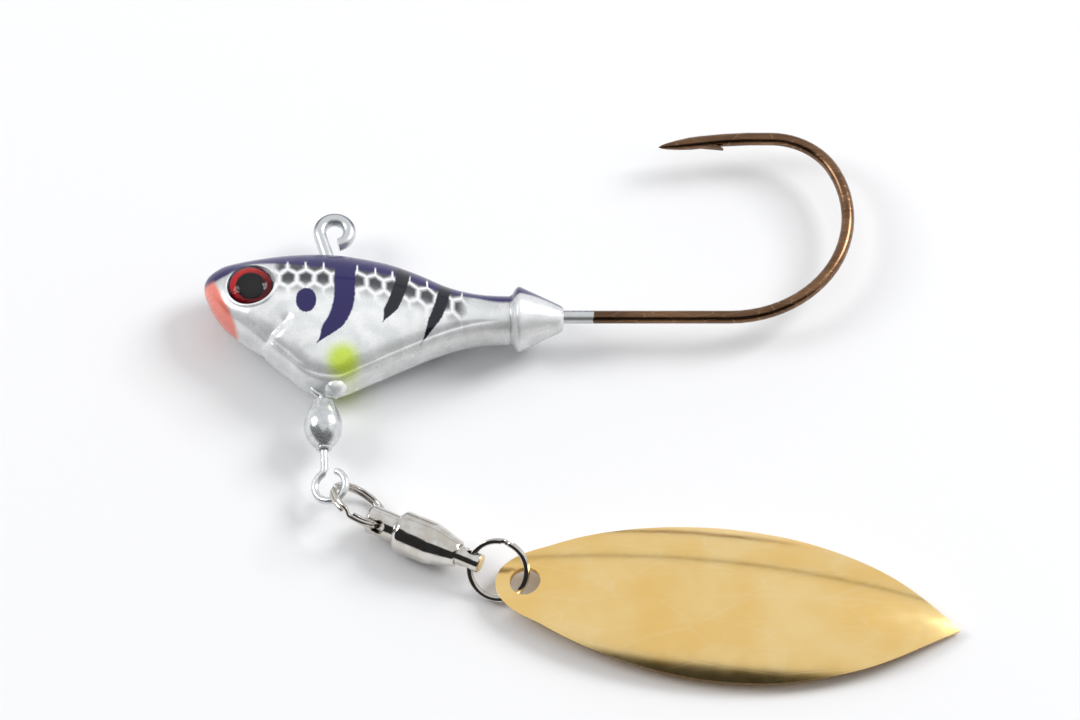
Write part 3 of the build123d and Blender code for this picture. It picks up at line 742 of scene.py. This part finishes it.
painted_metal = swivel_paint()
barrel_top = Vector(joints["barrel_spin"]["pos_m"])
barrel_axis = Vector(joints["barrel_spin"]["axis"]).normalized()
across = Vector(joints["upper_ring_swing"]["axis"]).normalized()
up = Vector((0, 0, 1))
barrel = bmesh.new()
turned(barrel, BARREL_PROFILE, 96)
piece(barrel, "swivel_barrel", spot(barrel_top, barrel_axis, up), painted_metal, "barrel", "swivel_paint",
      "belly_barrel", sharp=50, smooth_levels=1)
upper_normal = -(up - barrel_axis * up.dot(barrel_axis))
upper_place = spot(barrel_top, upper_normal, -barrel_axis)
piece(wire_eye(-1.25, 2.1, (-1.25, -0.55, 0.8)), "upper_wire_eye", upper_place, painted_metal, "lure",
      "swivel_paint", "belly_eye_upper", sharp=50)
lower_normal = barrel_axis.cross(across)
lower_place = spot(barrel_top, lower_normal, barrel_axis)
piece(wire_eye(LOWER_HEAD, LOWER_REACH, (LOWER_HEAD, 4.7, 0.66)), "lower_wire_eye", lower_place,
      painted_metal, "lower_eye", "swivel_paint", "belly_eye_lower", sharp=50)

# ---- Split rings ----
# Two turns of flat-rolled spring wire, nickel plated. The strand steps across to its second turn in a
# short kink, and both cut tails lie beside it.
RING_R = 2.9
RING_WIRE = 0.5
COIL_T = 0.4
COIL_GAP = 0.01
KINK = 7
TAIL = 11


def plated(name, tint, rough):
    """Bright nickel plate in two close shades, with hair scratches and slightly dull patches."""
    plate = Finish(name)
    worn = plate.group(marks, Place=plate.mm, Scratch_Spacing=0.9)
    warm = tuple(channel * shade for channel, shade in zip(tint, (0.82, 0.78, 0.72, 1)))
    shade = plate.blend(plate.ease(plate.cloud(1.3, 4.0), 0.35, 0.7), warm, tint)
    plate.set(Base_Color=shade, Metallic=1.0,
              Roughness=plate.maths("ADD", rough, plate.maths("MULTIPLY", worn["Dullness"], 0.12)))
    plate.bump(plate.maths("SUBTRACT", plate.cloud(0.12, 2.0), worn["Scratches"]), 0.0015)
    return plate


def ring_strand():
    bm = bmesh.new()
    middle = (COIL_T + COIL_GAP) / 2
    a, b, c = RING_WIRE / 2, COIL_T / 2, 0.12
    corners = [(a, c - b), (a, b - c), (a - c / 3, b - c / 3), (a - c, b), (c - a, b), (c / 3 - a, b - c / 3),
               (-a, b - c), (-a, c - b), (c / 3 - a, c / 3 - b), (c - a, -b), (a - c, -b),
               (a - c / 3, c / 3 - b)]
    ring = [bm.verts.new((RING_R + x, 0, z + middle)) for x, z in corners]
    for pair in zip(ring, ring[1:] + ring[:1]):
        bm.edges.new(pair)
    bmesh.ops.contextual_create(bm, geom=ring)
    bmesh.ops.rotate(bm, verts=ring, cent=(0, 0, 0), matrix=Matrix.Rotation(radians(TAIL), 3, "Z"))
    turn, level, step = float(TAIL), middle, 4.0
    while turn < 720 - TAIL - 0.01:
        step = 2.0 if 345 < turn < 375 else 4.0
        turn = min(turn + step, 720 - TAIL)
        eased = min(1.0, max(0.0, (turn - 360 + KINK) / (2 * KINK)))
        wanted = middle - 2 * middle * eased * eased * (3 - 2 * eased)
        grown = bmesh.ops.extrude_edge_only(bm, edges=edges_between(ring))["geom"]
        ring = [v for v in grown if isinstance(v, bmesh.types.BMVert)]
        moved = step if turn < 720 - TAIL else (720 - 2 * TAIL) % step or step
        bmesh.ops.rotate(bm, verts=ring, cent=(0, 0, 0), matrix=Matrix.Rotation(radians(moved), 3, "Z"))
        bmesh.ops.translate(bm, verts=ring, vec=(0, 0, wanted - level))
        level = wanted
    bmesh.ops.contextual_create(bm, geom=ring)
    return bm


ring_plate = plated("split ring nickel", (0.70, 0.68, 0.66, 1), 0.07)
plug_hole = Vector(joints["bearing_swing"]["pos_m"])
plug_bore = Vector(joints["bearing_swing"]["axis"]).normalized()
stud_hole = Vector(joints["lower_ring_swing"]["pos_m"])
stud_bore = Vector(joints["lower_ring_swing"]["axis"]).normalized()
for node, name, body, hole, bore, towards in (
        ("split_ring_upper", "upper_ring_strand", "upper_ring", plug_hole, plug_bore, 1),
        ("split_ring_lower", "lower_ring_strand", "lower_ring", stud_hole, stud_bore, -1)):
    low, high = (Vector(corner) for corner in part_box(node))
    centre = (low + high) / 2
    reach = (hole - centre) * towards
    piece(ring_strand(), name, spot(centre, reach.cross(bore), bore), ring_plate, body, "ring_steel", node,
          sharp=35)

# ---- Ball-bearing swivel ----
# A nickel-plated turned shell. Its wide rim is rolled over the flange of a drilled end post, and a
# headed stud comes out of the tapered end, running on a ring of eleven steel balls inside.
BODY_PROFILE = [(1.42, 0.55), (1.42, 0.12), (1.46, 0.03), (1.56, 0.0), (1.7, 0.04), (1.86, 0.18),
                (2.04, 0.36), (2.12, 0.5), (2.15, 0.66), (2.15, 1.6), (2.15, 2.8), (2.15, 3.55), (2.13, 3.78),
                (2.06, 4.05), (1.86, 4.8), (1.6, 5.75), (1.4, 6.45), (1.35, 6.6), (1.3, 6.68), (1.2, 6.7),
                (1.08, 6.69), (1.03, 6.6), (1.03, 3.7), (1.7, 3.7), (1.7, 0.55), (1.42, 0.55)]
PLUG_PROFILE = [(0, -3.3), (0.95, -3.3), (1.07, -3.27), (1.3, -3.06), (1.4, -2.94), (1.42, -2.86),
                (1.42, 0.35), (1.7, 0.35), (1.7, 1.1), (0, 1.1)]
STUD_PROFILE = [(0, 2.4), (1.6, 2.4), (1.6, 3.0), (0.98, 3.0), (0.98, 9.03), (0.96, 9.1), (0.9, 9.17),
                (0.82, 9.2), (0, 9.2)]
CROSS_R = 0.68
CROSS_EASE = 0.2
BALL_R = 0.33
BALL_PITCH = 1.34
BALL_LEVEL = 3.35


def drilled(bm, name, place, finish, body, slot, node, hole, bore, post_r):
    """A turned post with a cross-hole whose mouths are eased by the ring."""
    made = piece(bm, name, place, finish, body, slot, node, sharp=35)
    cutter = bmesh.new()
    turned(cutter, [(0, -2 * post_r), (CROSS_R + CROSS_EASE, -2 * post_r), (CROSS_R + CROSS_EASE, -post_r),
                    (CROSS_R, -0.72 * post_r), (CROSS_R, 0.72 * post_r), (CROSS_R + CROSS_EASE, post_r),
                    (CROSS_R + CROSS_EASE, 2 * post_r), (0, 2 * post_r)], 64)
    bmesh.ops.recalc_face_normals(cutter, faces=cutter.faces)
    cutter.transform(spot(hole, bore, bearing_axis) @ Matrix.Scale(MM, 4))
    mesh = bpy.data.meshes.new("drill")
    cutter.to_mesh(mesh)
    cutter.free()
    drill = bpy.data.objects.new("drill", mesh)
    bpy.context.scene.collection.objects.link(drill)
    cut = made.modifiers.new("cross hole", "BOOLEAN")
    cut.operation = "DIFFERENCE"
    cut.solver = "EXACT"
    cut.object = drill
    bpy.context.view_layer.update()
    cleaned = bpy.data.meshes.new_from_object(made.evaluated_get(bpy.context.evaluated_depsgraph_get()))
    made.modifiers.remove(cut)
    made.data = cleaned
    cleaned.shade_smooth()
    cleaned.set_sharp_from_angle(angle=radians(35))
    bpy.data.objects.remove(drill)
    return made


bearing_axis = Vector(joints["bearing_spin"]["axis"]).normalized()
bearing_place = spot(Vector(joints["bearing_spin"]["pos_m"]), bearing_axis, up)
nickel = plated("bright nickel", (0.76, 0.75, 0.73, 1), 0.04)
shell = bmesh.new()
turned(shell, BODY_PROFILE, 96)
piece(shell, "bearing_shell", bearing_place, nickel, "bearing", "nickel", "bearing_body", sharp=40)
post = bmesh.new()
turned(post, PLUG_PROFILE, 128, 0.1)
drilled(post, "bearing_post", bearing_place, nickel, "bearing", "nickel", "bearing_plug", plug_hole,
        plug_bore, 1.42)


def stud_finish():
    """Nickel plate that the maker's saw cut off the stud's end, leaving bare brass there."""
    plate = plated("stud nickel", (0.76, 0.75, 0.73, 1), 0.04)
    start = Vector(joints["bearing_spin"]["pos_m"]) / MM
    along = plate.tree.nodes.new("ShaderNodeVectorMath")
    along.operation = "DOT_PRODUCT"
    along.inputs[1].default_value = bearing_axis
    plate.put(along.inputs[0], plate.mm)
    end = start.dot(bearing_axis) + 9.1
    bare = plate.ease(along.outputs["Value"], end, end + 0.06)
    colour = plate.shader.inputs["Base Color"].links[0].from_socket
    plate.set(Base_Color=plate.blend(bare, colour, (0.80, 0.56, 0.25, 1)))
    return plate


stud = bmesh.new()
turned(stud, STUD_PROFILE, 128, 0.08)
drilled(stud, "bearing_shaft", bearing_place, stud_finish(), "stud", "nickel", "bearing_stud", stud_hole,
        stud_bore, 0.98)
ball_steel = plated("polished ball steel", (0.62, 0.63, 0.65, 1), 0.03)
balls = bmesh.new()
for k in range(11):
    angle = 2 * pi * k / 11
    bmesh.ops.create_uvsphere(balls, u_segments=20, v_segments=12, radius=BALL_R, matrix=Matrix.Translation(
        (BALL_PITCH * cos(angle), BALL_PITCH * sin(angle), BALL_LEVEL)))
piece(balls, "ball_ring", bearing_place, ball_steel, "balls", "ball_steel", "bearing_balls")

# ---- Willow blade ----
# Stamped from 0.55 mm brass, domed in the press, gold plated and lacquered. The round neck end is
# pierced for the ring.
BLADE_LENGTH = 45.9
NECK_R = 2.9
NECK_TURN = 42
HALF_WIDTHS = [(5.0, 4.45), (10.0, 6.5), (17.0, 8.1), (24.0, 8.5), (31.0, 7.6), (38.5, 4.9), (45.9, 0.0)]
BLADE_T = 0.55
BLADE_RISE = 2.6
HOLE_X = 2.9
HOLE_R = 1.5
BLADE_HEADING = -6.1
BLADE_DIP = 1.65


def blade_half_width(x):
    """Half width of the willow leaf: a round neck, then a smooth curve through the given widths."""
    foot = (NECK_R * (1 - cos(radians(NECK_TURN))), NECK_R * sin(radians(NECK_TURN)))
    if x <= foot[0]:
        return sqrt(max(0.0, NECK_R ** 2 - (x - NECK_R) ** 2))
    points = [foot] + HALF_WIDTHS
    slopes = [1 / (sin(radians(NECK_TURN)) / cos(radians(NECK_TURN)))]
    slopes += [(c[1] - a[1]) / (c[0] - a[0]) for a, b, c in zip(points, points[1:], points[2:])] + [-0.72]
    i = max(k for k in range(len(points) - 1) if points[k][0] <= x)
    (x0, y0), (x1, y1) = points[i], points[i + 1]
    h = x1 - x0
    t = (x - x0) / h
    return ((2 * t ** 3 - 3 * t ** 2 + 1) * y0 + (t ** 3 - 2 * t ** 2 + t) * h * slopes[i]
            + (3 * t ** 2 - 2 * t ** 3) * y1 + (t ** 3 - t ** 2) * h * slopes[i + 1])


def blade_crown(x, y):
    """Height of the domed upper face, with its rim near 0."""
    half = BLADE_LENGTH / 2
    widest = max(width for along, width in HALF_WIDTHS)
    long_r = half ** 2 / (2 * BLADE_RISE) + BLADE_RISE / 2
    cross_r = widest ** 2 / (2 * BLADE_RISE) + BLADE_RISE / 2
    ridge = BLADE_RISE - long_r + sqrt(long_r ** 2 - (x - half) ** 2)
    axis_z = BLADE_RISE - cross_r
    return axis_z + sqrt((ridge - axis_z) ** 2 - y ** 2)


def blade_outline(count):
    """Points of the outline, evenly spaced, from the tip round the left edge and the neck."""
    fine = []
    for k in range(2001):
        angle = pi * k / 2000
        x = BLADE_LENGTH / 2 * (1 + cos(angle))
        fine.append(Vector((x, max(0.0, blade_half_width(min(x, BLADE_LENGTH - 1e-6))), 0)))
    fine += [Vector((p.x, -p.y, 0)) for p in reversed(fine[1:-1])]
    lengths = [0.0]
    for a, b in zip(fine, fine[1:] + fine[:1]):
        lengths.append(lengths[-1] + (b - a).length)
    points = []
    i = 0
    for k in range(count):
        wanted = lengths[-1] * k / count
        while lengths[i + 1] < wanted:
            i += 1
        share = (wanted - lengths[i]) / max(1e-9, lengths[i + 1] - lengths[i])
        points.append(fine[i].lerp(fine[(i + 1) % len(fine)], share))
    return points


def blade_shape():
    count = 320
    outline = blade_outline(count)
    hole = Vector((HOLE_X, 0, 0))
    drop = blade_crown(HOLE_X, 0) - BLADE_T / 2

    def ring_at(share):
        def point(turn):
            edge = outline[round(turn * count) % count]
            start = hole + (edge - hole).normalized() * HOLE_R
            flat = start.lerp(edge, share)
            return Vector((flat.x - HOLE_X, flat.y, blade_crown(flat.x, flat.y) - drop))

        return point

    bm = bmesh.new()
    skin(bm, [ring_at(1 - (1 - k / 44) ** 1.25) for k in range(45)], count, close=False)
    bmesh.ops.recalc_face_normals(bm, faces=bm.faces)
    if sum(face.normal.z for face in bm.faces) < 0:
        bmesh.ops.reverse_faces(bm, faces=bm.faces)
    bmesh.ops.solidify(bm, geom=bm.faces, thickness=BLADE_T)
    return bm


def gold_finish():
    """Gold plate under lacquer: two close shades in broad clouds, with hair scratches."""
    gold = Finish("lacquered gold plate")
    worn = gold.group(marks, Place=gold.mm, Scratch_Spacing=0.45)
    broad = gold.ease(gold.cloud(7.0, 3.0), 0.3, 0.7)
    shade = gold.blend(broad, (0.95, 0.62, 0.20, 1), (0.99, 0.72, 0.31, 1))
    shade = gold.blend(gold.maths("MULTIPLY", worn["Scratches"], 0.12), shade, (1.0, 0.88, 0.62, 1))
    gold.set(Base_Color=shade, Metallic=1.0,
             Roughness=gold.maths("ADD", 0.10, gold.maths("MULTIPLY", worn["Dullness"], 0.12)),
             Coat_Weight=0.5, Coat_Roughness=0.04)
    scored = gold.maths("MULTIPLY", worn["Scratches"], 0.03)
    gold.bump(gold.maths("SUBTRACT", gold.cloud(5.0, 2.0), scored), 0.02)
    return gold


blade_hole = Vector(joints["blade_swing"]["pos_m"])
heading = Matrix.Rotation(radians(BLADE_HEADING), 3, "Z") @ Matrix.Rotation(radians(BLADE_DIP), 3, "Y")
along = heading @ Vector((1, 0, 0))
blade_place = spot(blade_hole, up - along * up.dot(along), along)
piece(blade_shape(), "gold_blade", blade_place, gold_finish(), "blade", "blade_gold", "willow_blade",
      sharp=40, bevel=0.12)

# ---- Table, lights and camera ----
# A plain white table in a white light tent that is open at the front, with a softbox on either side.
low, high = (Vector(corner) for corner in cad_box)
middle = (low + high) / 2
table = bmesh.new()
bmesh.ops.create_grid(table, x_segments=2, y_segments=2, size=3.0)
mesh = bpy.data.meshes.new("table")
table.to_mesh(mesh)
table.free()
board = bpy.data.objects.new("table", mesh)
board.location = (middle.x, middle.y, low.z)
bpy.context.scene.collection.objects.link(board)
board_white = Finish("table white")
board_white.set(Base_Color=(0.93, 0.93, 0.94, 1), Roughness=0.7)
mesh.materials.append(board_white.material)

bpy.context.scene.view_settings.view_transform = "Standard"
world = bpy.data.worlds.new("studio")
bpy.context.scene.world = world
world.use_nodes = True
tent = world.node_tree
TENT_GLOW = 0.82
ROOM_DARK = 0.03
ROOM_SIDE = Vector((-0.25, -0.97, 0)).normalized()
ROOM_LOW, ROOM_HIGH = 0.07, 0.90
SEAM_LEVEL = 0.55


def tent_step(kind, operation=None, **inputs):
    """Add a node to the light tent; a name such as input_0 is the socket's number."""
    made = tent.nodes.new(kind)
    if operation:
        made.operation = operation
    for name, value in inputs.items():
        socket = made.inputs[int(name[6:]) if name.startswith("input_") else name.replace("_", " ")]
        if isinstance(value, bpy.types.NodeSocket):
            tent.links.new(value, socket)
        else:
            socket.default_value = value
    return made


def tent_ease(value, low, high, start=0.0, stop=1.0):
    made = tent_step("ShaderNodeMapRange", Value=value, From_Min=low, From_Max=high, To_Min=start,
                     To_Max=stop)
    made.interpolation_type = "SMOOTHSTEP"
    return made.outputs["Result"]


def tent_product(a, b):
    return tent_step("ShaderNodeMath", "MULTIPLY", input_0=a, input_1=b).outputs["Value"]


# The tent is open towards the viewer, where the room is dark, and has a grey seam along its back.
towards = tent_step("ShaderNodeTexCoord").outputs["Generated"]
level = tent_step("ShaderNodeSeparateXYZ", Vector=towards).outputs["Z"]
front = tent_step("ShaderNodeVectorMath", "DOT_PRODUCT", input_0=towards, input_1=ROOM_SIDE).outputs["Value"]
between = tent_product(tent_ease(level, ROOM_LOW, ROOM_LOW + 0.06),
                       tent_ease(level, ROOM_HIGH, ROOM_HIGH - 0.05))
room = tent_product(tent_ease(front, 0.10, 0.22), between)
seam = tent_step("ShaderNodeMath", "SUBTRACT", input_0=level, input_1=SEAM_LEVEL).outputs["Value"]
seam = tent_step("ShaderNodeMath", "ABSOLUTE", input_0=seam).outputs["Value"]
seam = tent_product(tent_ease(seam, 0.028, 0.012), tent_ease(front, 0.0, -0.15))
glow = tent_product(tent_ease(room, 0, 1, TENT_GLOW, ROOM_DARK), tent_ease(seam, 0, 1, 1.0, 0.35))
tent.links.new(glow, tent.nodes["Background"].inputs["Strength"])
tent.nodes["Background"].inputs["Color"].default_value = (0.98, 0.99, 1.0, 1)


def softbox(name, place, width, height, power):
    lamp = bpy.data.lights.new(name, "AREA")
    lamp.shape = "RECTANGLE"
    lamp.size, lamp.size_y = width, height
    lamp.energy = power
    box = bpy.data.objects.new(name, lamp)
    box.location = place
    box.rotation_euler = (middle - Vector(place)).to_track_quat("-Z", "Y").to_euler()
    bpy.context.scene.collection.objects.link(box)


softbox("key", (0.62, 0.28, 0.50), 0.34, 0.34, 3.9)
softbox("fill", (-0.62, 0.10, 0.50), 0.34, 0.34, 2.2)

VIEW_WIDTH = 0.108
VIEW_FROM = 1.0
VIEW_RISE = radians(60)
aim = Vector((20.54, -11.016, -6.36)) * MM
camera = bpy.data.cameras.new("camera")
camera.sensor_width = 36
camera.lens = camera.sensor_width * VIEW_FROM / VIEW_WIDTH
camera.clip_start = 0.01
eye = bpy.data.objects.new("camera", camera)
eye.location = aim + Vector((0, -cos(VIEW_RISE), sin(VIEW_RISE))) * VIEW_FROM
eye.rotation_euler = (pi / 2 - VIEW_RISE, 0, 0)
bpy.context.scene.collection.objects.link(eye)
bpy.context.scene.camera = eye
